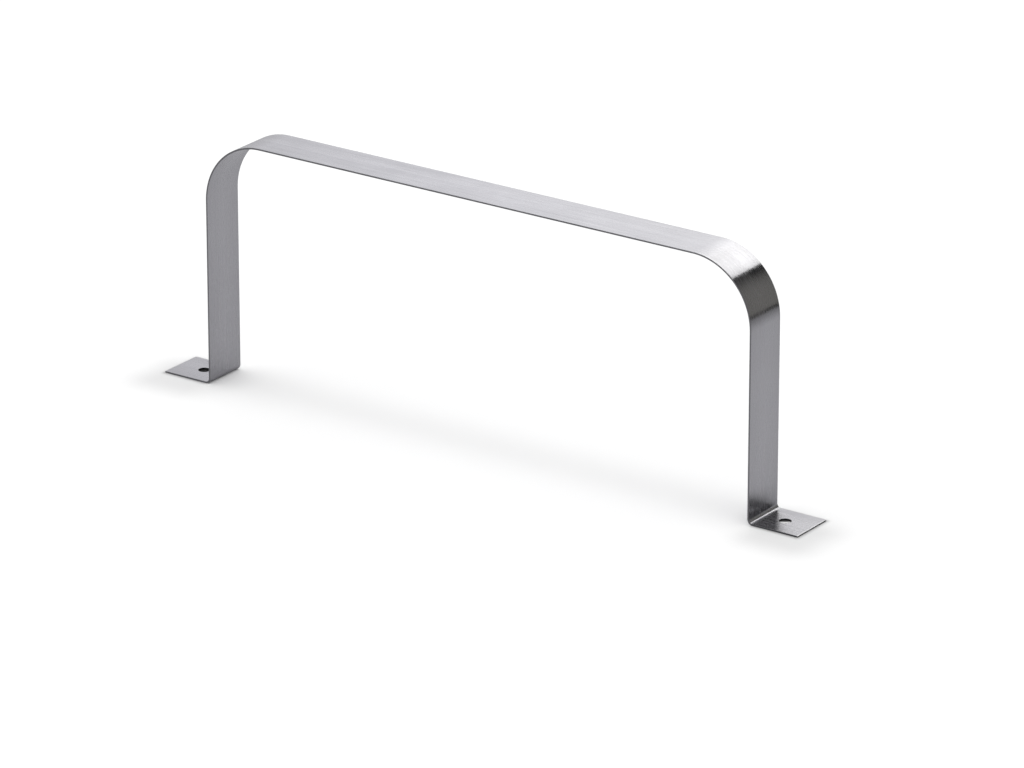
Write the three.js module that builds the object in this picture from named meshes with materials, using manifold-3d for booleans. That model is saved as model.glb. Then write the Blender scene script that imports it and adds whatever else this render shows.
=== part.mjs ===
// Grab rail bent from one flat strip of brushed stainless steel: a straight grip, two large rounded corners, two
// upright legs, and two feet that turn outwards, each with one screw hole.
// Millimetres, +Z up. The rail runs along X and stands on z = 0, with the origin midway between its feet.
import * as THREE from 'three';
import { mergeVertices } from 'three/addons/utils/BufferGeometryUtils.js';
import Module from 'manifold-3d';

// Driving dimensions
const stripWidth = 30;
const stripThickness = 1;
const legSpan = 384; // over the outer faces of the two legs
const railHeight = 156; // from the undersides of the feet to the top of the grip
const cornerRadius = 40; // top corners, outer face
const footBendRadius = 2.5; // leg to foot, inside the bend
const footLength = 33; // from a leg's outer face to the foot's tip
const holeDiameter = 7; // clears an M6 screw
const holeFromLeg = 15; // from a leg's outer face to the hole's centre

// Facets
const cornerFacets = 24;
const footBendFacets = 8;
const holeFacets = 48;

// Places that follow from the driving dimensions
const legFace = legSpan / 2;
const footTip = legFace + footLength;
const holeX = legFace + holeFromLeg;
const quarterTurn = Math.PI / 2;

const wasm = await Module();
wasm.setup();

const brushedStainless = new THREE.MeshStandardMaterial({
  name: 'brushed_stainless',
  color: 0xb4b5b8,
  roughness: 0.32,
  metalness: 1,
});

// Points of a quarter circle about (x, z), from the start angle to the end angle.
function quarterCircle(x, z, radius, start, end, facets) {
  const clockwise = end < start;
  return new THREE.EllipseCurve(x, z, radius, radius, start, end, clockwise).getPoints(facets);
}

// One long edge of the strip's section on the +X side, from the foot's tip up to the grip. An inset of 0 gives the
// outer face, and an inset of the strip's thickness gives the inner face.
function halfEdge(inset) {
  const bendX = legFace + footBendRadius;
  const bendZ = stripThickness + footBendRadius;
  const cornerX = legFace - cornerRadius;
  const cornerZ = railHeight - cornerRadius;
  return [
    new THREE.Vector2(footTip, stripThickness - inset),
    ...quarterCircle(bendX, bendZ, footBendRadius + inset, -quarterTurn, -2 * quarterTurn, footBendFacets),
    ...quarterCircle(cornerX, cornerZ, cornerRadius - inset, 0, quarterTurn, cornerFacets),
  ];
}

// The same edge on the -X side, from the grip down to the foot's tip.
function mirroredEdge(edge) {
  return edge.map((point) => new THREE.Vector2(-point.x, point.y)).reverse();
}

// The whole strip as a closed outline in the XZ plane, swept across its width and centred on Y = 0.
function bentStrip() {
  const outerEdge = halfEdge(0);
  const innerEdge = halfEdge(stripThickness);
  const outline = [
    ...outerEdge,
    ...mirroredEdge(outerEdge),
    ...mirroredEdge(innerEdge).reverse(),
    ...innerEdge.reverse(),
  ];
  const geometry = new THREE.ExtrudeGeometry(new THREE.Shape(outline), { depth: stripWidth, bevelEnabled: false });
  return geometry.rotateX(quarterTurn).translate(0, stripWidth / 2, 0);
}

// The drill that makes the screw hole in the foot on the given side, -1 or 1.
function holeDrill(side) {
  const drillLength = 4 * stripThickness;
  const drill = new THREE.CylinderGeometry(holeDiameter / 2, holeDiameter / 2, drillLength, holeFacets);
  return drill.rotateX(quarterTurn).translate(side * holeX, 0, stripThickness / 2);
}

function toSolid(geometry) {
  geometry.deleteAttribute('normal');
  geometry.deleteAttribute('uv');
  const merged = mergeVertices(geometry);
  const vertProperties = new Float32Array(merged.attributes.position.array);
  const triVerts = new Uint32Array(merged.index.array);
  return new wasm.Manifold(new wasm.Mesh({ numProp: 3, vertProperties, triVerts }));
}

function toGeometry(solid) {
  const { vertProperties, triVerts } = solid.getMesh();
  const geometry = new THREE.BufferGeometry();
  geometry.setAttribute('position', new THREE.BufferAttribute(vertProperties, 3));
  geometry.setIndex(new THREE.BufferAttribute(triVerts, 1));
  geometry.computeVertexNormals();
  return geometry;
}

let strip = toSolid(bentStrip());
for (const side of [-1, 1]) {
  strip = strip.subtract(toSolid(holeDrill(side)));
}

const railStrip = new THREE.Mesh(toGeometry(strip), brushedStainless);
railStrip.name = 'rail_strip';

const grabRail = new THREE.Group();
grabRail.add(railStrip);

export default grabRail;
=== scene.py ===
import math

import bpy
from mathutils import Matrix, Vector


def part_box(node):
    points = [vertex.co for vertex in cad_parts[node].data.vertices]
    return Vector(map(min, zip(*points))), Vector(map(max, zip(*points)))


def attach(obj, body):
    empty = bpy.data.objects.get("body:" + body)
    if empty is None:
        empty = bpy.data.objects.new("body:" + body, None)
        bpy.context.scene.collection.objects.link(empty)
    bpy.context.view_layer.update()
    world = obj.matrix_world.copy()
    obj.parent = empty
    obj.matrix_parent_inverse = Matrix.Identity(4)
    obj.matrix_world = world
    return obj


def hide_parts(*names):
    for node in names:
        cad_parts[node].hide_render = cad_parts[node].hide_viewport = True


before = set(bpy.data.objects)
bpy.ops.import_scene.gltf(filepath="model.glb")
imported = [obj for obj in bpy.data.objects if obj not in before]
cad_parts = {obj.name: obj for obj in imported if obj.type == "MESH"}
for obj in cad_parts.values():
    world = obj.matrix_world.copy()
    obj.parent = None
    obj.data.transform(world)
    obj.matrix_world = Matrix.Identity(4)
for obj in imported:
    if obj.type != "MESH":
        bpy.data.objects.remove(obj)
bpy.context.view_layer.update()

MM = 0.001
QUARTER = math.pi / 2

# ---------------------------------------------------------------------------
# The rail's own sizes, in metres. The overall ones come from the CAD strip.
# ---------------------------------------------------------------------------
STRIP = "rail_strip"
strip_low, strip_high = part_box(STRIP)
HALF_SPAN = strip_high.x                      # middle to a foot's tip
HALF_WIDTH = (strip_high.y - strip_low.y) / 2
RAIL_HEIGHT = strip_high.z

THICKNESS = 1.0 * MM
LEG_SPAN = 384 * MM                           # over the outer faces of the legs
CORNER_RADIUS = 40 * MM                       # outer face of the top corners
FOOT_BEND_RADIUS = 2.5 * MM                   # inside of the bend over the foot
HOLE_RADIUS = 3.5 * MM
HOLE_FROM_LEG = 15 * MM                       # from a leg's outer face to the hole's centre

EDGE_SOFTENING = 0.20 * MM                    # rounding of the long cut edges
TIP_ROLL = 1.0 * MM                           # how far back the rounding of a foot's tip reaches
TIP_DEPTH = 0.38 * MM                         # and how deep it cuts into each face
HOLE_SOFTENING = 0.18 * MM                    # rounding of the holes' rims

HALF_THICKNESS = THICKNESS / 2
HALF_LEG_SPAN = LEG_SPAN / 2
HOLE_CENTRE = HALF_LEG_SPAN + HOLE_FROM_LEG   # x of the right hole
HOLE_FROM_TIP = HALF_SPAN - HOLE_CENTRE
FOOT_MID_RADIUS = FOOT_BEND_RADIUS + HALF_THICKNESS
CORNER_MID_RADIUS = CORNER_RADIUS - HALF_THICKNESS

# Lengths along the middle of the strip's thickness
FOOT_STRAIGHT = HALF_SPAN - HALF_LEG_SPAN - FOOT_BEND_RADIUS
FOOT_BEND = FOOT_MID_RADIUS * QUARTER
LEG_STRAIGHT = RAIL_HEIGHT - CORNER_RADIUS - (FOOT_BEND_RADIUS + THICKNESS)
CORNER_BEND = CORNER_MID_RADIUS * QUARTER
GRIP_STRAIGHT = 2 * (HALF_LEG_SPAN - CORNER_RADIUS)

# (length, turn to the left) of each straight and bend, from the left tip to the right tip
PATH = [
    (FOOT_STRAIGHT, 0.0),
    (FOOT_BEND, QUARTER),
    (LEG_STRAIGHT, 0.0),
    (CORNER_BEND, -QUARTER),
    (GRIP_STRAIGHT, 0.0),
    (CORNER_BEND, -QUARTER),
    (LEG_STRAIGHT, 0.0),
    (FOOT_BEND, QUARTER),
    (FOOT_STRAIGHT, 0.0),
]
PATH_LENGTH = sum(length for length, turn in PATH)
PATH_START = (-HALF_SPAN, HALF_THICKNESS)     # x and z of the left tip


def middle_line(s):
    """x, z and heading of the strip's middle line, a distance s from the left tip."""
    x, z = PATH_START
    heading = 0.0
    for length, turn in PATH:
        part = min(s, length)
        if turn == 0.0:
            x += part * math.cos(heading)
            z += part * math.sin(heading)
        else:
            radius = length / turn
            end = heading + part / radius
            x += radius * (math.sin(end) - math.sin(heading))
            z -= radius * (math.cos(end) - math.cos(heading))
            heading = end
        s -= length
        if s <= 0.0:
            break
    return x, z, heading


def bent_point(s, v, w):
    """A point of the flat blank (along, across, through) in its place on the bent rail."""
    x, z, heading = middle_line(s)
    return Vector((x - w * math.sin(heading), v, z + w * math.cos(heading)))


def bent_direction(s, direction):
    """A direction of the flat blank turned the way the bent rail turns it."""
    heading = middle_line(s)[2]
    along, across, through = direction
    return Vector((
        along * math.cos(heading) - through * math.sin(heading),
        across,
        along * math.sin(heading) + through * math.cos(heading),
    ))


# ---------------------------------------------------------------------------
# The strip's mesh: a flat blank with softened edges and drilled holes, bent.
# ---------------------------------------------------------------------------
CUT_STEPS = 4                                 # mesh steps round each softened edge
TIP_STEPS = 4                                 # and along each stretch of half the strip
HEEL_STEPS = 3
FOOT_BEND_STEPS = 16
LEG_STEPS = 16
CORNER_STEPS = 72
HALF_GRIP_STEPS = 20
OUTER_ROWS = (12 * MM, 9 * MM)                # rows of points between a hole's patch and an edge
HOLE_PATCH = 6 * MM                           # half side of the square mesh patch round a hole
PATCH_CELLS = 12                              # cells along one side of that patch
PATCH_RINGS = (0.0, 0.4, 0.75, 1.0)           # its rings, as shares of the way in to the rim
POINT_DECIMALS = 8                            # points that agree to this many are one point

FACE, CUT, DRILLED = range(3)                 # material slots

# The strip's cross-section: flat faces and sides, joined by quarter circles
FLAT_HALF_WIDTH = HALF_WIDTH - EDGE_SOFTENING
FLAT_HALF_THICKNESS = HALF_THICKNESS - EDGE_SOFTENING
EDGE_TURN = EDGE_SOFTENING * QUARTER
FACE_GIRTH = 2 * FLAT_HALF_WIDTH
SIDE_GIRTH = 2 * EDGE_TURN + 2 * FLAT_HALF_THICKNESS
GIRTH = 2 * (FACE_GIRTH + SIDE_GIRTH)


def evenly(first, last, steps):
    """Values after first, up to and with last."""
    return [first + (last - first) * i / steps for i in range(1, steps + 1)]


class Blank:
    """Collects the faces of the flat blank; equal points are shared."""

    def __init__(self):
        self.index = {}
        self.points = []
        self.normals = []
        self.faces = []
        self.uvs = []
        self.slots = []

    def corner(self, s, v, w, normal):
        """The index of the point here, which is added if it is new."""
        key = tuple(round(value, POINT_DECIMALS) for value in (s, v, w))
        if key not in self.index:
            self.index[key] = len(self.points)
            self.points.append((s, v, w))
            self.normals.append(normal)
        return self.index[key]

    def face(self, corners, slot):
        """corners: (s, v, w, normal, uv) going round the face, which is left out if it has no area."""
        ids = []
        uvs = []
        for s, v, w, normal, uv in corners:
            i = self.corner(s, v, w, normal)
            if i not in ids:
                ids.append(i)
                uvs.append(uv)
        if len(ids) > 2:
            self.faces.append(ids)
            self.uvs.append(uvs)
            self.slots.append(slot)


def patch_lines():
    """The lines of a hole's mesh patch, from one side of it to the other."""
    return [-HOLE_PATCH] + evenly(-HOLE_PATCH, HOLE_PATCH, PATCH_CELLS)


def across_lines():
    """Places across the strip where the mesh has a row of points, over one flat face."""
    outside = [FLAT_HALF_WIDTH, *OUTER_ROWS]
    return [-v for v in outside] + patch_lines() + outside[::-1]


def rounded_side(way, radius, squash, girth):
    """One side of the section: way 1 goes down the side at +v, and -1 up the side at -v."""
    # For way 1, each is (w of the quarter circle's centre, its first angle, step, girth before it)
    turns = [(FLAT_HALF_THICKNESS, QUARTER, i, 0.0) for i in range(1, CUT_STEPS + 1)]
    turns += [(-FLAT_HALF_THICKNESS, 0.0, i, SIDE_GIRTH - EDGE_TURN) for i in range(CUT_STEPS)]
    points = []
    for centre, start, i, before in turns:
        angle = start - QUARTER * i / CUT_STEPS
        normal = (way * math.cos(angle), way * math.sin(angle))
        v = way * FLAT_HALF_WIDTH + radius * normal[0]
        w = (way * centre + radius * normal[1]) * squash
        points.append((v, w, normal, girth + before + EDGE_TURN * i / CUT_STEPS))
    return points


def section_loop(drawn_in):
    """The strip's rounded cross-section, as (v, w, normal, distance round it).

    drawn_in is 0 along the strip, and rises to 1 at the very tip of a foot.
    """
    radius = EDGE_SOFTENING * (1 - drawn_in)
    half = HALF_THICKNESS - TIP_DEPTH * drawn_in
    squash = half / (FLAT_HALF_THICKNESS + radius)
    lines = across_lines()
    below = FACE_GIRTH + SIDE_GIRTH
    loop = [(v, half, (0.0, 1.0), v - lines[0]) for v in lines]
    loop += rounded_side(1, radius, squash, FACE_GIRTH)
    loop += [(v, -half, (0.0, -1.0), below + FLAT_HALF_WIDTH - v) for v in reversed(lines)]
    loop += rounded_side(-1, radius, squash, below + FACE_GIRTH)
    return loop


def stations():
    """Places along the strip where the mesh has a loop, from the left tip to the right tip.

    Each is (s, drawn_in, lean), and lean is how far the normals tip along the strip.
    """
    left = []
    for i in range(CUT_STEPS + 1):
        angle = QUARTER * i / CUT_STEPS
        forward = math.cos(angle) / TIP_ROLL
        outward = math.sin(angle) / TIP_DEPTH
        left.append((
            TIP_ROLL * (1 - math.cos(angle)),
            1 - math.sin(angle),
            -forward / math.hypot(forward, outward),
        ))
    patch_start = HOLE_FROM_TIP - HOLE_PATCH
    patch_end = HOLE_FROM_TIP + HOLE_PATCH
    places = evenly(TIP_ROLL, patch_start, TIP_STEPS)
    places += evenly(patch_start, patch_end, PATCH_CELLS)
    places += evenly(patch_end, FOOT_STRAIGHT, HEEL_STEPS)
    at = FOOT_STRAIGHT
    for length, steps in (
        (FOOT_BEND, FOOT_BEND_STEPS),
        (LEG_STRAIGHT, LEG_STEPS),
        (CORNER_BEND, CORNER_STEPS),
        (GRIP_STRAIGHT / 2, HALF_GRIP_STEPS),
    ):
        places += evenly(at, at + length, steps)
        at += length
    left += [(s, 0.0, 0.0) for s in places]
    right = [(PATH_LENGTH - s, drawn_in, -lean) for s, drawn_in, lean in reversed(left[:-1])]
    return left + right


def leaning(normal, lean):
    """The section's normal tipped along the strip."""
    rest = math.sqrt(1 - lean * lean)
    return (lean, normal[0] * rest, normal[1] * rest)


def in_hole_patch(s0, s1, v0, v1):
    """Whether a cell of the flat faces lies in the square round a screw hole."""
    middle = (s0 + s1) / 2
    across = abs(v0 + v1) / 2
    near = min(abs(middle - HOLE_FROM_TIP), abs(middle - (PATH_LENGTH - HOLE_FROM_TIP)))
    return near < HOLE_PATCH and across < HOLE_PATCH


def add_skin(blank):
    """The blank's outside, without the squares round the holes, and its two end faces."""
    rows = stations()
    loops = [section_loop(drawn_in) for s, drawn_in, lean in rows]
    count = len(loops[0])
    flat_count = len(across_lines())
    bottom_start = flat_count + 2 * CUT_STEPS
    for (s0, _, lean0), (s1, _, lean1), loop0, loop1 in zip(rows, rows[1:], loops, loops[1:]):
        for j in range(count):
            k = (j + 1) % count
            on_top = j < flat_count - 1
            on_bottom = bottom_start <= j < bottom_start + flat_count - 1
            if (on_top or on_bottom) and in_hole_patch(s0, s1, loop0[j][0], loop0[k][0]):
                continue
            quad = []
            for s, lean, loop, i in (
                (s0, lean0, loop0, j), (s1, lean1, loop1, j),
                (s1, lean1, loop1, k), (s0, lean0, loop0, k),
            ):
                v, w, normal, along = loop[i]
                if i == 0 and j != 0:
                    along = GIRTH
                quad.append((s, v, w, leaning(normal, lean), (s, along)))
            blank.face(quad, FACE if on_top or on_bottom else CUT)
    for s, loop, lean in ((0.0, loops[0], -1.0), (PATH_LENGTH, loops[-1], 1.0)):
        top = loop[:flat_count]
        bottom = loop[bottom_start:bottom_start + flat_count][::-1]
        for i in range(flat_count - 1):
            ring = [top[i], top[i + 1], bottom[i + 1], bottom[i]]
            if lean > 0:
                ring = ring[::-1]
            blank.face([(s, v, w, (lean, 0.0, 0.0), (v, w)) for v, w, normal, along in ring], CUT)


def square_ring():
    """Points round the edge of the hole's mesh patch, on the grid, from one corner of it."""
    side = patch_lines()[:-1]
    ring = [(HOLE_PATCH, a) for a in side]
    ring += [(-a, HOLE_PATCH) for a in side]
    ring += [(-HOLE_PATCH, -a) for a in side]
    ring += [(a, -HOLE_PATCH) for a in side]
    return ring


def add_hole(blank, s_centre):
    """The square round one screw hole on both faces, the hole's softened rims and its wall."""
    square = square_ring()
    count = len(square)
    angles = [2 * math.pi * i / count - QUARTER / 2 for i in range(count)]
    directions = [(math.cos(angle), math.sin(angle)) for angle in angles]
    rim = HOLE_RADIUS + HOLE_SOFTENING
    rings = []
    for share in PATCH_RINGS:
        rings.append([
            (a + (rim * x - a) * share, b + (rim * y - b) * share, HALF_THICKNESS, (0.0, 0.0, 1.0))
            for (a, b), (x, y) in zip(square, directions)
        ])
    for i in range(1, CUT_STEPS + 1):
        inward = math.sin(QUARTER * i / CUT_STEPS)
        upward = math.cos(QUARTER * i / CUT_STEPS)
        radius = HOLE_RADIUS + HOLE_SOFTENING * (1 - inward)
        w = HALF_THICKNESS - HOLE_SOFTENING * (1 - upward)
        rings.append([
            (radius * x, radius * y, w, (-x * inward, -y * inward, upward)) for x, y in directions
        ])
    rings += [
        [(a, b, -w, (normal[0], normal[1], -normal[2])) for a, b, w, normal in ring]
        for ring in reversed(rings)
    ]
    flat_levels = len(PATCH_RINGS) - 1
    for level, (ring0, ring1) in enumerate(zip(rings, rings[1:])):
        drilled = flat_levels <= level < len(rings) - 1 - flat_levels
        for i in range(count):
            k = (i + 1) % count
            quad = []
            for ring, j, turn in ((ring0, i, i), (ring0, k, i + 1), (ring1, k, i + 1), (ring1, i, i)):
                a, b, w, normal = ring[j]
                uv = (s_centre + a, b)
                if drilled:
                    uv = (turn * 2 * math.pi * HOLE_RADIUS / count, w)
                quad.append((s_centre + a, b, w, normal, uv))
            blank.face(quad, DRILLED if drilled else FACE)


def make_strip():
    """The whole bent strip as one mesh object."""
    blank = Blank()
    add_skin(blank)
    add_hole(blank, HOLE_FROM_TIP)
    add_hole(blank, PATH_LENGTH - HOLE_FROM_TIP)
    mesh = bpy.data.meshes.new("rail_strip_finish")
    mesh.from_pydata([bent_point(*point) for point in blank.points], [], blank.faces)
    mesh.polygons.foreach_set("use_smooth", [True] * len(mesh.polygons))
    mesh.polygons.foreach_set("material_index", blank.slots)
    uv_layer = mesh.uv_layers.new(name="along_grain")
    uv_layer.data.foreach_set("uv", [value for face in blank.uvs for uv in face for value in uv])
    place = mesh.attributes.new("blank", "FLOAT_VECTOR", "POINT")
    place.data.foreach_set("vector", [value for point in blank.points for value in point])
    mesh.normals_split_custom_set_from_vertices([
        bent_direction(point[0], normal).normalized()
        for point, normal in zip(blank.points, blank.normals)
    ])
    mesh.update()
    piece = bpy.data.objects.new("rail_strip_finish", mesh)
    bpy.context.scene.collection.objects.link(piece)
    return piece


# ---------------------------------------------------------------------------
# Node helpers
# ---------------------------------------------------------------------------
def new_material(name):
    """A material and its node tree, with no nodes in it yet."""
    material = bpy.data.materials.new(name)
    material.use_nodes = True
    material.node_tree.nodes.clear()
    return material, material.node_tree


def node(tree, kind, inputs=None, **settings):
    """A new node. Each input is a value, or another node's output to link to it."""
    made = tree.nodes.new(kind)
    for name, value in settings.items():
        setattr(made, name, value)
    for name, value in (inputs or {}).items():
        if isinstance(value, bpy.types.NodeSocket):
            tree.links.new(value, made.inputs[name])
        else:
            made.inputs[name].default_value = value
    return made


def math_node(tree, operation, a, b=0.0):
    """The result of an operation on one or two numbers."""
    return node(tree, "ShaderNodeMath", {0: a, 1: b}, operation=operation).outputs["Value"]


def vector_node(tree, operation, a, b=(0.0, 0.0, 0.0)):
    """The node, because some operations give a vector and others a value."""
    return node(tree, "ShaderNodeVectorMath", {0: a, 1: b}, operation=operation)


def ranged(tree, value, from_low, from_high, to_low, to_high):
    """A value moved from one range to another, and held at that range's ends."""
    return node(tree, "ShaderNodeMapRange", {
        "Value": value, "From Min": from_low, "From Max": from_high,
        "To Min": to_low, "To Max": to_high,
    }).outputs["Result"]


def object_place(tree):
    """A point's place round its own object's origin."""
    return node(tree, "ShaderNodeTexCoord").outputs["Object"]


def along_direction(tree, place, direction):
    """The dot product of a place and a direction."""
    return vector_node(tree, "DOT_PRODUCT", place, direction).outputs["Value"]


def matt_grey(tree, tone):
    """A diffuse surface with the same tone in all three colours."""
    paint = node(tree, "ShaderNodeCombineColor", {"Red": tone, "Green": tone, "Blue": tone})
    surface = node(tree, "ShaderNodeBsdfDiffuse", {"Color": paint.outputs["Color"]})
    node(tree, "ShaderNodeOutputMaterial", {"Surface": surface.outputs["BSDF"]})


# ---------------------------------------------------------------------------
# Brushed stainless steel
# ---------------------------------------------------------------------------
STEEL = (0.557, 0.552, 0.592)
# How fine the noise is along, across and through the strip, per metre
FINE_GRAIN = (22.0, 1500.0, 1500.0)
WIDE_GRAIN = (5.0, 330.0, 330.0)
BLOTCHES = (38.0, 45.0, 45.0)
NOISE_LOW = 0.3                               # the noise is spread from here
NOISE_HIGH = 0.7                              # to here, and cut off outside
FINE_TONE = 0.014                             # how far the grain moves the brightness, either way
WIDE_TONE = 0.009
MIDDLE_TONE = 0.02                            # painted shading as of a slightly crowned strip: it is lighter along its middle
EDGE_TONE = -0.035                            # and darker along its long edges
FINE_ROUGHNESS = 0.035                        # how far the grain moves the roughness, either way
WIDE_ROUGHNESS = 0.018
BLOTCH_ROUGHNESS = 0.015
FINE_BUMPS = 0.7                              # shares of the grain's height
WIDE_BUMPS = 0.3
BUMP_STRENGTH = 0.5
ACROSS_GRAIN = 0.25                           # turn of the anisotropy, as a share of a full circle
BEND_FROM_CENTRE = PATH_LENGTH / 2 - FOOT_STRAIGHT - FOOT_BEND / 2
BURNISHED = 0.25                              # share of the grain left in the tight foot bends


def noise(tree, place, scale, detail, roughness):
    """Noise stretched by a scale for each of the blank's directions."""
    stretched = node(tree, "ShaderNodeMapping", {"Vector": place, "Scale": scale})
    return node(tree, "ShaderNodeTexNoise", {
        "Vector": stretched.outputs["Vector"], "Scale": 1.0,
        "Detail": detail, "Roughness": roughness,
    }, noise_dimensions="3D").outputs["Fac"]


def swing(tree, value, reach, middle=0.0):
    """Noise turned into a value up to reach to either side of the middle."""
    return ranged(tree, value, NOISE_LOW, NOISE_HIGH, middle - reach, middle + reach)


def steel_material(name, tone, rough, anisotropy, bump_depth):
    """Steel brushed along the strip, with its grain laid out on the flat blank."""
    material, tree = new_material(name)
    place = node(tree, "ShaderNodeAttribute", attribute_name="blank").outputs["Vector"]
    placed = node(tree, "ShaderNodeSeparateXYZ", {"Vector": place}).outputs
    fine = noise(tree, place, FINE_GRAIN, detail=3.0, roughness=0.65)
    wide = noise(tree, place, WIDE_GRAIN, detail=2.0, roughness=0.5)
    blotch = noise(tree, place, BLOTCHES, detail=3.0, roughness=0.55)

    grain = math_node(tree, "ADD", swing(tree, fine, FINE_TONE), swing(tree, wide, WIDE_TONE))
    from_middle = math_node(tree, "ABSOLUTE", placed["Y"])
    # painted shading across the strip's width, lighter in the middle and darker at the long edges
    painted_crown_shading = ranged(tree, from_middle, 0.0, HALF_WIDTH, MIDDLE_TONE, EDGE_TONE)
    brightness = math_node(tree, "ADD", math_node(tree, "ADD", grain, painted_crown_shading), tone)
    colour = node(tree, "ShaderNodeVectorMath", {0: STEEL, "Scale": brightness}, operation="SCALE")

    from_centre = math_node(tree, "SUBTRACT", placed["X"], PATH_LENGTH / 2)
    from_centre = math_node(tree, "ABSOLUTE", from_centre)
    to_bend = math_node(tree, "SUBTRACT", from_centre, BEND_FROM_CENTRE)
    to_bend = math_node(tree, "ABSOLUTE", to_bend)
    grain_left = ranged(tree, to_bend, FOOT_BEND / 2, FOOT_BEND, BURNISHED, 1.0)

    streaks = math_node(tree, "ADD", swing(tree, fine, FINE_ROUGHNESS),
                        swing(tree, wide, WIDE_ROUGHNESS))
    roughness = math_node(tree, "ADD", math_node(tree, "MULTIPLY", streaks, grain_left),
                          swing(tree, blotch, BLOTCH_ROUGHNESS, rough))
    height = math_node(tree, "ADD", math_node(tree, "MULTIPLY", fine, FINE_BUMPS),
                       math_node(tree, "MULTIPLY", wide, WIDE_BUMPS))
    bump = node(tree, "ShaderNodeBump", {
        "Height": height, "Strength": math_node(tree, "MULTIPLY", grain_left, BUMP_STRENGTH),
        "Distance": bump_depth,
    })
    tangent = node(tree, "ShaderNodeTangent", direction_type="UV_MAP", uv_map="along_grain")
    shader = node(tree, "ShaderNodeBsdfPrincipled", {
        "Base Color": colour.outputs["Vector"], "Metallic": 1.0, "Roughness": roughness,
        "Anisotropic": anisotropy, "Anisotropic Rotation": ACROSS_GRAIN,
        "Normal": bump.outputs["Normal"], "Tangent": tangent.outputs["Tangent"],
    })
    node(tree, "ShaderNodeOutputMaterial", {"Surface": shader.outputs["BSDF"]})
    return material


strip = make_strip()
# In the order of the slots FACE, CUT and DRILLED
for name, tone, rough, anisotropy, bump_depth in (
    ("brushed_stainless", 1.0, 0.275, 1.0, 0.08 * MM),
    # cut edges: a rougher, less brushed finish, and half the tone, which is painted shade
    ("cut_stainless_painted_shade", 0.5, 0.34, 0.6, 0.02 * MM),
    # hole walls: a drilled finish with a near black tone, which is painted shade
    ("drilled_stainless_painted_shade", 0.07, 0.4, 0.3, 0.02 * MM),
):
    strip.data.materials.append(steel_material(name, tone, rough, anisotropy, bump_depth))
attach(strip, "root")
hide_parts(STRIP)

# ---------------------------------------------------------------------------
# Camera: off to the right of the rail's front, with a long lens
# ---------------------------------------------------------------------------
VIEW_AZIMUTH = math.radians(35.09)
VIEW_ELEVATION = math.radians(21.18)
CAMERA_DISTANCE = 3.9535
AIM = Vector((0.0198, -0.0025, 0.0432))

scene = bpy.context.scene
to_camera = Vector((
    math.sin(VIEW_AZIMUTH) * math.cos(VIEW_ELEVATION),
    -math.cos(VIEW_AZIMUTH) * math.cos(VIEW_ELEVATION),
    math.sin(VIEW_ELEVATION),
))
camera_data = bpy.data.cameras.new("camera")
camera_data.sensor_width = 36.0
camera_data.lens = 240.46
camera_data.clip_start = 0.05
camera_data.clip_end = 60.0
camera = bpy.data.objects.new("camera", camera_data)
camera.location = AIM + to_camera * CAMERA_DISTANCE
camera.rotation_mode = "QUATERNION"
camera.rotation_quaternion = (-to_camera).to_track_quat("-Z", "Y")
scene.collection.objects.link(camera)
scene.camera = camera


# ---------------------------------------------------------------------------
# Floor
# ---------------------------------------------------------------------------
def sheet(name, corners, material):
    """A flat piece of the studio."""
    mesh = bpy.data.meshes.new(name)
    mesh.from_pydata(corners, [], [tuple(range(len(corners)))])
    mesh.materials.append(material)
    made = bpy.data.objects.new(name, mesh)
    scene.collection.objects.link(made)
    return made


FLOOR_EDGE = 30.0                             # how far the floor reaches each way
FLOOR_WHITE = 0.92
FLOOR_IN_STEEL = 0.48                         # painted pool of light round the rail, in the floor's tone as the steel sees it
FLOOR_FAR_IN_STEEL = 0.22                     # and the floor outside that pool
POOL_EDGE = 0.42                              # distances from the origin where the pool
POOL_END = 0.80                               # starts to fade and has faded

FOOT_LENGTH = HALF_SPAN - HALF_LEG_SPAN + THICKNESS
FOOT_CENTRE = HALF_SPAN - FOOT_LENGTH / 2

CONTACT_SHADE = 0.19                          # painted shade: how much darker the floor is painted in front of a foot
CONTACT_REACH = 17 * MM
SHADE_CENTRES = [(-FOOT_CENTRE - 2 * MM, -16 * MM, 0.0), (FOOT_CENTRE + 10 * MM, -15 * MM, 0.0)]
SHADE_HALF_SIZE = (FOOT_LENGTH / 2 - 6 * MM, HALF_WIDTH - 4 * MM, 0.0)

LINE_SHADE = 0.40                             # painted shadow: the dark line where a foot meets the floor
LINE_REACH = 2 * MM
FOOT_CENTRES = [(-FOOT_CENTRE - 2 * MM, 0.0, 0.0), (FOOT_CENTRE + 2 * MM, 0.0, 0.0)]
FOOT_HALF_SIZE = (FOOT_LENGTH / 2 - 2.5 * MM, HALF_WIDTH, 0.0)

SHADE_IN_STEEL = 0.6                          # painted shade on the floor by the right foot, seen only in the steel's reflections
STEEL_REACH = 6 * MM


def gap_round(tree, place, centre, half_size):
    """Distance over the floor from a rectangle."""
    apart = vector_node(tree, "SUBTRACT", place, centre).outputs["Vector"]
    apart = vector_node(tree, "ABSOLUTE", apart).outputs["Vector"]
    outside = vector_node(tree, "SUBTRACT", apart, half_size).outputs["Vector"]
    outside = vector_node(tree, "MAXIMUM", outside).outputs["Vector"]
    return vector_node(tree, "LENGTH", outside).outputs["Value"]


def shading(tree, gap, reach, darkness):
    """A factor that paints shade into the floor's tone, darkest at no gap and fading over the reach.
    """
    share = math_node(tree, "MULTIPLY", gap, 1.0 / reach)
    falling = math_node(tree, "MULTIPLY", share, math_node(tree, "MULTIPLY", share, -1.0))
    fading = math_node(tree, "EXPONENT", falling)
    return ranged(tree, fading, 0.0, 1.0, 1.0, 1.0 - darkness)


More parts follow.
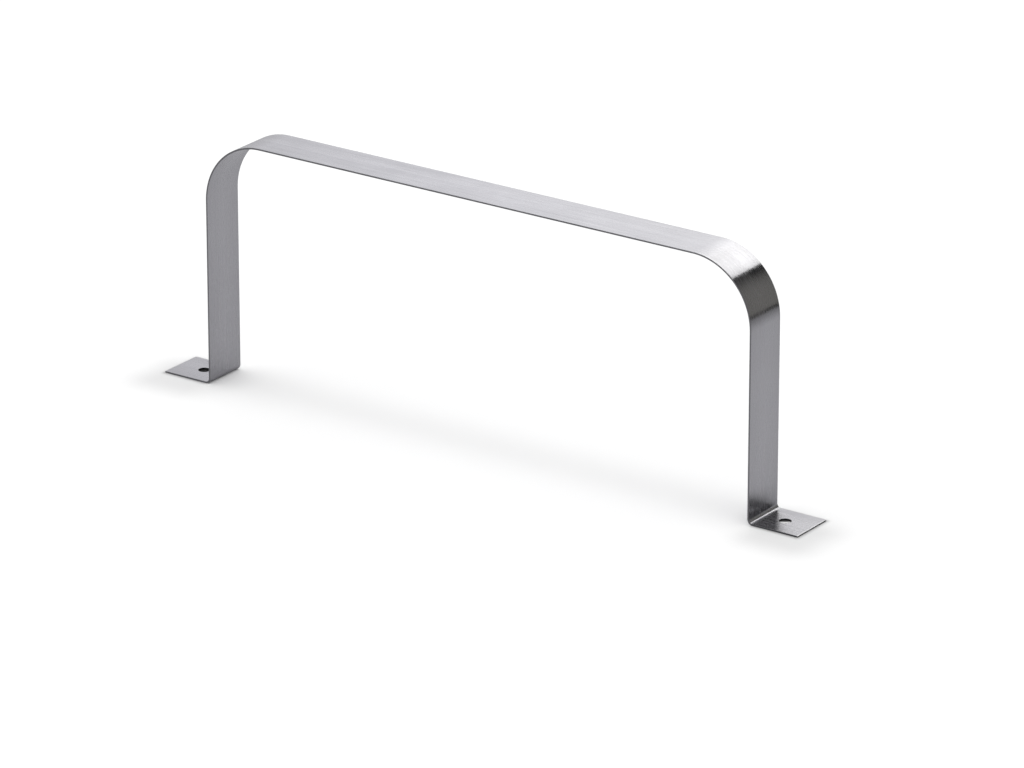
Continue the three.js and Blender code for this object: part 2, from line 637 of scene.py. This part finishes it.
def shaded(tree, tone, place, centres, half_size, reach, darkness):
    """The tone, with painted shade round both rectangles."""
    gaps = [gap_round(tree, place, centre, half_size) for centre in centres]
    nearest = math_node(tree, "MINIMUM", *gaps)
    return math_node(tree, "MULTIPLY", tone, shading(tree, nearest, reach, darkness))


def floor_material():
    """White, greyer as the steel sees it with a painted pool of light round the rail, and with painted
    shade round the feet.
    """
    material, tree = new_material("floor_white")
    seen_by_steel = node(tree, "ShaderNodeLightPath").outputs["Is Glossy Ray"]
    place = object_place(tree)
    away = vector_node(tree, "LENGTH", place).outputs["Value"]
    # painted pool of light: the floor's tone as the steel sees it, lighter round the rail
    pool = ranged(tree, away, POOL_EDGE, POOL_END, FLOOR_IN_STEEL, FLOOR_FAR_IN_STEEL)
    tone = ranged(tree, seen_by_steel, 0.0, 1.0, FLOOR_WHITE, pool)
    # painted shadow in front of each foot
    tone = shaded(tree, tone, place, SHADE_CENTRES, SHADE_HALF_SIZE, CONTACT_REACH, CONTACT_SHADE)
    # painted shadow along the line where each foot meets the floor
    tone = shaded(tree, tone, place, FOOT_CENTRES, FOOT_HALF_SIZE, LINE_REACH, LINE_SHADE)
    # painted shade by the right foot, which only the steel's reflections show
    gap = gap_round(tree, place, FOOT_CENTRES[1], FOOT_HALF_SIZE)
    painted_shade_in_steel = shading(tree, gap, STEEL_REACH, SHADE_IN_STEEL)
    tone = math_node(tree, "MULTIPLY", tone, ranged(tree, seen_by_steel, 0.0, 1.0, 1.0, painted_shade_in_steel))
    matt_grey(tree, tone)
    return material


floor_corners = [(-1, -1), (1, -1), (1, 1), (-1, 1)]
sheet("floor", [(a * FLOOR_EDGE, b * FLOOR_EDGE, 0.0) for a, b in floor_corners], floor_material())


# ---------------------------------------------------------------------------
# Light: cards that show only in the steel, a white world and an overhead light
# ---------------------------------------------------------------------------
def light_material(name, colour, *ramps, blue=None, second=1.0):
    """A light-giving surface.

    Each ramp is (direction, from, to, strength at from, strength at to), and they multiply. blue is
    a ramp like these for the colour's blue. second is the share of the strength left for light that
    reaches the eye over two reflections.
    """
    material, tree = new_material(name)
    place = object_place(tree)
    reflections = node(tree, "ShaderNodeLightPath").outputs["Glossy Depth"]
    strength = ranged(tree, reflections, 1.0, 2.0, 1.0, second)
    for direction, *ends in ramps:
        ramp = ranged(tree, along_direction(tree, place, direction), *ends)
        strength = math_node(tree, "MULTIPLY", ramp, strength)
    shine = node(tree, "ShaderNodeEmission", {"Color": (*colour, 1.0), "Strength": strength})
    if blue:
        direction, *ends = blue
        tint = node(tree, "ShaderNodeCombineColor", {
            "Red": colour[0], "Green": colour[1],
            "Blue": ranged(tree, along_direction(tree, place, direction), *ends),
        })
        tree.links.new(tint.outputs["Color"], shine.inputs["Color"])
    node(tree, "ShaderNodeOutputMaterial", {"Surface": shine.outputs["Emission"]})
    return material


def card(name, corners, material):
    """A flat card beside the set, seen only in the steel's reflections."""
    made = sheet(name, corners, material)
    made.visible_camera = False
    made.visible_diffuse = False
    made.visible_shadow = False


def facing_front(y, outline):
    """The corners of an upright card at y, from an outline in x and z."""
    return [(x, y, z) for x, z in outline]


BACK = 0.6                                    # y of the softbox behind the rail
SOFTBOX_LEFT = -0.95
SOFTBOX_BOTTOM = 0.02
SOFTBOX_TOP = 1.3
WALL = 0.64                                   # y of the dark wall behind the softbox
WALL_LEFT = -0.6
WALL_RIGHT = 1.4                              # and x of its right-hand part
WALL_FRONT = -0.9                             # how far forward that part comes
WALL_TOP = 2.4
BAND = WALL - 5 * MM                          # y of the darker band at the wall's foot
BAND_LEFT = 0.3
BAND_RIGHT = WALL_RIGHT - 5 * MM

LEVEL = (1, 0, 0)
SLANTING = (-0.5, 0, 1)
LEANING = (1, 0, -0.72)

# The softbox's right edge leans out to the right, from its bottom to its top, in x and z
SOFTBOX_EDGE = [
    (-0.07, SOFTBOX_BOTTOM), (0.109, 0.205), (0.250, 0.371),
    (0.422, 0.594), (0.73, 1.03), (0.92, SOFTBOX_TOP),
]
softbox_outline = [(SOFTBOX_LEFT, SOFTBOX_BOTTOM), *SOFTBOX_EDGE, (SOFTBOX_LEFT, SOFTBOX_TOP)]
card("back_softbox", facing_front(BACK, softbox_outline), light_material(
    "back_softbox", (1.0, 1.0, 0.985),
    (LEVEL, -0.76, -0.56, 0.68, 1.0),
    (LEVEL, -0.56, -0.26, 1.31, 1.68),
    (LEVEL, -0.26, -0.08, 1.0, 1.43),
    (LEVEL, 0.0, 0.35, 1.0, 1.25),
    (SLANTING, 0.30, 0.50, 0.18, 1.0),
    blue=(LEVEL, -0.5, 0.0, 1.0, 0.95),
))

dark = light_material("dark_wall", (1.02, 1.0, 0.9), (LEANING, 0.15, 0.28, 0.0, 0.20), second=0.1)
card("dark_back", facing_front(WALL, [
    (WALL_LEFT, 0.0), (WALL_RIGHT, 0.0), (WALL_RIGHT, WALL_TOP), (WALL_LEFT, WALL_TOP),
]), dark)
card("dark_right", [
    (WALL_RIGHT, WALL, 0.0), (WALL_RIGHT, WALL_FRONT, 0.0),
    (WALL_RIGHT, WALL_FRONT, WALL_TOP), (WALL_RIGHT, WALL, WALL_TOP),
], dark)

# The band's top edge falls towards the left
BAND_TOP = [(BAND_RIGHT, 0.085), (0.716, 0.06), (0.427, 0.03), (BAND_LEFT, 0.018)]
BAND_STRENGTH = 0.01
card("wall_foot", facing_front(BAND, [(BAND_LEFT, 0.0), (BAND_RIGHT, 0.0), *BAND_TOP]),
     light_material("wall_foot", (1.0, 1.0, 1.0), (LEVEL, 0.0, 1.0, BAND_STRENGTH, BAND_STRENGTH)))

WORLD_LIGHT = 1.05                            # the world's strength where it lights the floor
WORLD_SEEN = 1.1                              # and where it is seen
MIRRORED_SHARE = 0.55                         # share of it that the steel mirrors to the eye
THROWN_SHARE = 1.7                            # and that the steel throws on the floor

world = bpy.data.worlds.new("studio")
scene.world = world
world.use_nodes = True
world_tree = world.node_tree
sky = world_tree.nodes["Background"]
sky.inputs["Color"].default_value = (1.0, 1.0, 1.0, 1.0)
ray = node(world_tree, "ShaderNodeLightPath").outputs
plain = ranged(world_tree, ray["Is Camera Ray"], 0.0, 1.0, WORLD_LIGHT, WORLD_SEEN)
by_steel = ranged(world_tree, ray["Diffuse Depth"], 0.0, 1.0, MIRRORED_SHARE, THROWN_SHARE)
in_steel = ranged(world_tree, ray["Is Glossy Ray"], 0.0, 1.0, 1.0, by_steel)
world_tree.links.new(math_node(world_tree, "MULTIPLY", plain, in_steel), sky.inputs["Strength"])

sun_data = bpy.data.lights.new("overhead_light", "SUN")
sun_data.angle = math.radians(17)
sun_data.energy = 0.38
sun = bpy.data.objects.new("overhead_light", sun_data)
scene.collection.objects.link(sun)
sun.visible_camera = False
sun.visible_glossy = False

# ---------------------------------------------------------------------------
# Patches of painted shade on the floor that shows through the screw holes
# ---------------------------------------------------------------------------
PATCH_RADIUS = HOLE_RADIUS + 1.5 * MM
PATCH_SIDES = 32
PATCH_LIFT = 0.02 * MM                        # height over the floor
BACKWARDS = (-0.57, 0.82, 0)                  # over the floor, away from the camera
FADE_START = 0.1 * MM                         # how far that way the tone starts to change
FADE_END = 1.9 * MM


def floor_patch(name, x, near_tone, far_tone):
    """A round patch of painted shade under the hole at x, with its far tone towards the back."""
    material, tree = new_material(name)
    along = along_direction(tree, object_place(tree), BACKWARDS)
    matt_grey(tree, ranged(tree, along, FADE_START, FADE_END, near_tone, far_tone))
    angles = [2 * math.pi * i / PATCH_SIDES for i in range(PATCH_SIDES)]
    corners = [(PATCH_RADIUS * math.cos(a), PATCH_RADIUS * math.sin(a), 0.0) for a in angles]
    made = sheet(name, corners, material)
    made.location = (x, 0.0, PATCH_LIFT)


floor_patch("shade_under_left_hole", -HOLE_CENTRE, near_tone=0.03, far_tone=0.02)
floor_patch("shade_under_right_hole", HOLE_CENTRE, near_tone=0.8, far_tone=0.05)

scene.view_settings.view_transform = "Standard"
